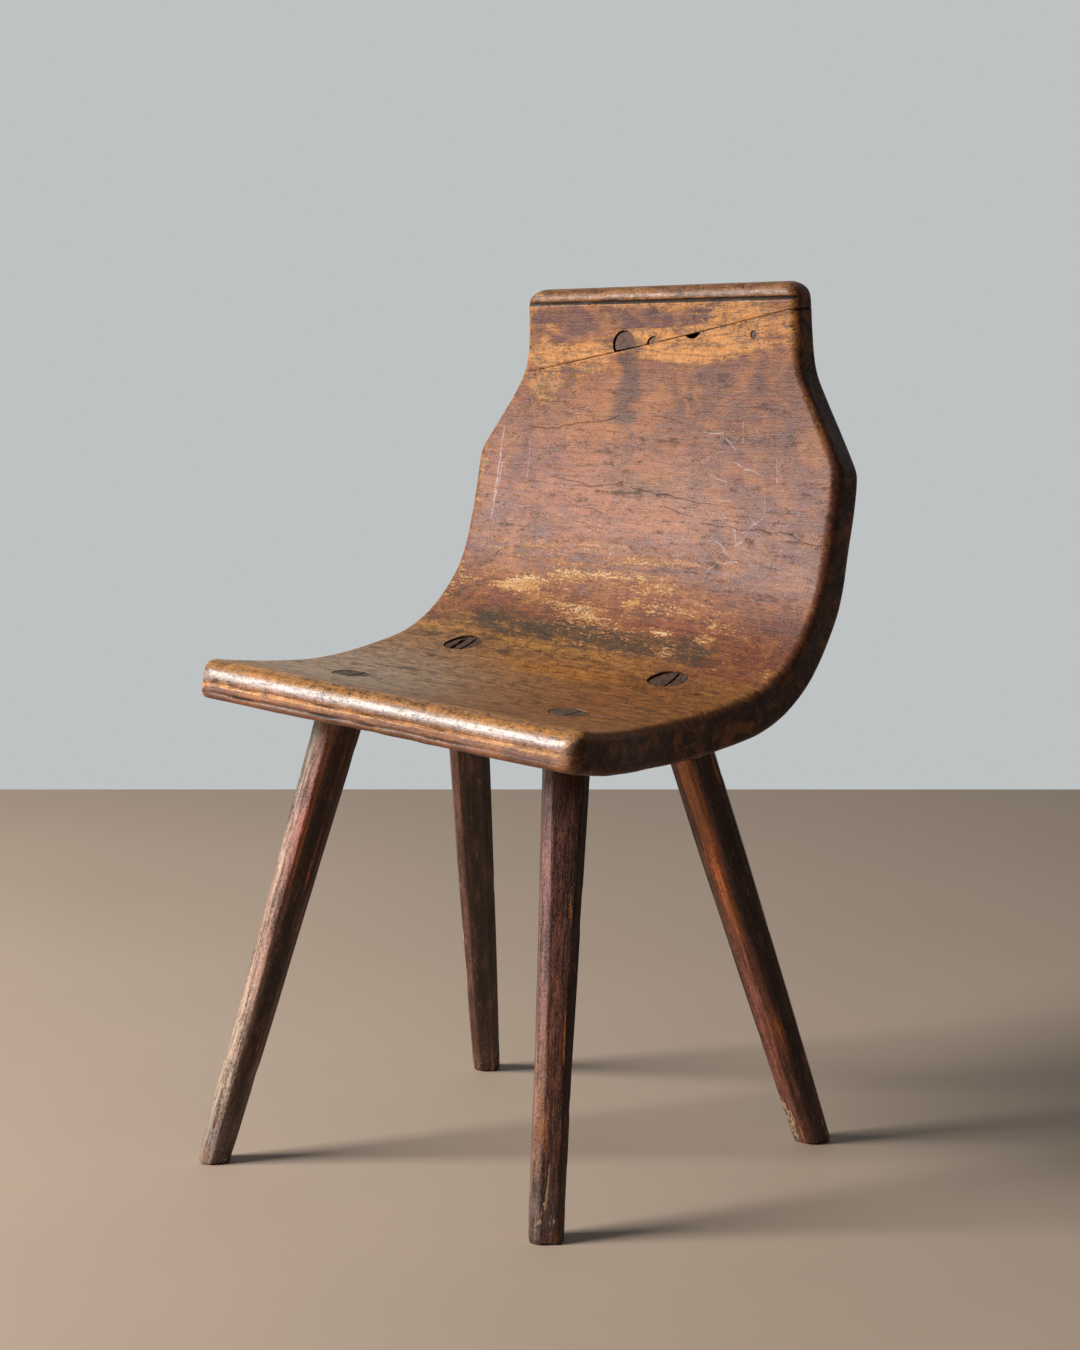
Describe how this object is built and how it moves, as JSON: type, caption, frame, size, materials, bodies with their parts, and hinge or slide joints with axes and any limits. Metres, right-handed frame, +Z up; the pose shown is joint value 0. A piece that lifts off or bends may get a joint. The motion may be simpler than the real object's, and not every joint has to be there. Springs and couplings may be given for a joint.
{
  "type": "folk chair",
  "caption": "Low-backed wooden folk chair: one curved hewn board makes seat and back, on splayed wedged legs, with worn and peeling dark red paint.",
  "frame": {"origin": "on the floor, under the middle of the chair's outline", "axes": "+Z up, the chair faces -Y, +X is on the right as seen from the front"},
  "size_m": [0.442, 0.4622, 0.8005],
  "materials": {
    "board_paint": "thin dark red-brown paint worn through to golden wood, satin from use",
    "top_piece_wood": "golden brown worn wood with remains of dark red paint",
    "leg_paint": "dark red-brown paint, rubbed through on the edges and grey at the feet",
    "wedge_wood": "dark end grain",
    "plug_wood": "grey-brown end grain",
    "dowel_wood": "plain split wood, hidden"
  },
  "bodies": {
    "root": {"seat_back_board": "board_paint", "back_top_piece": "top_piece_wood", "front_left_leg": "leg_paint", "front_right_leg": "leg_paint", "rear_left_leg": "leg_paint", "rear_right_leg": "leg_paint", "front_left_wedge": "wedge_wood", "front_right_wedge": "wedge_wood", "rear_left_wedge": "wedge_wood", "rear_right_wedge": "wedge_wood", "large_plug": "plug_wood", "small_plug": "plug_wood", "left_dowel": "dowel_wood", "right_dowel": "dowel_wood", "dowel_peg": "plug_wood"}
  },
  "joints": []
}
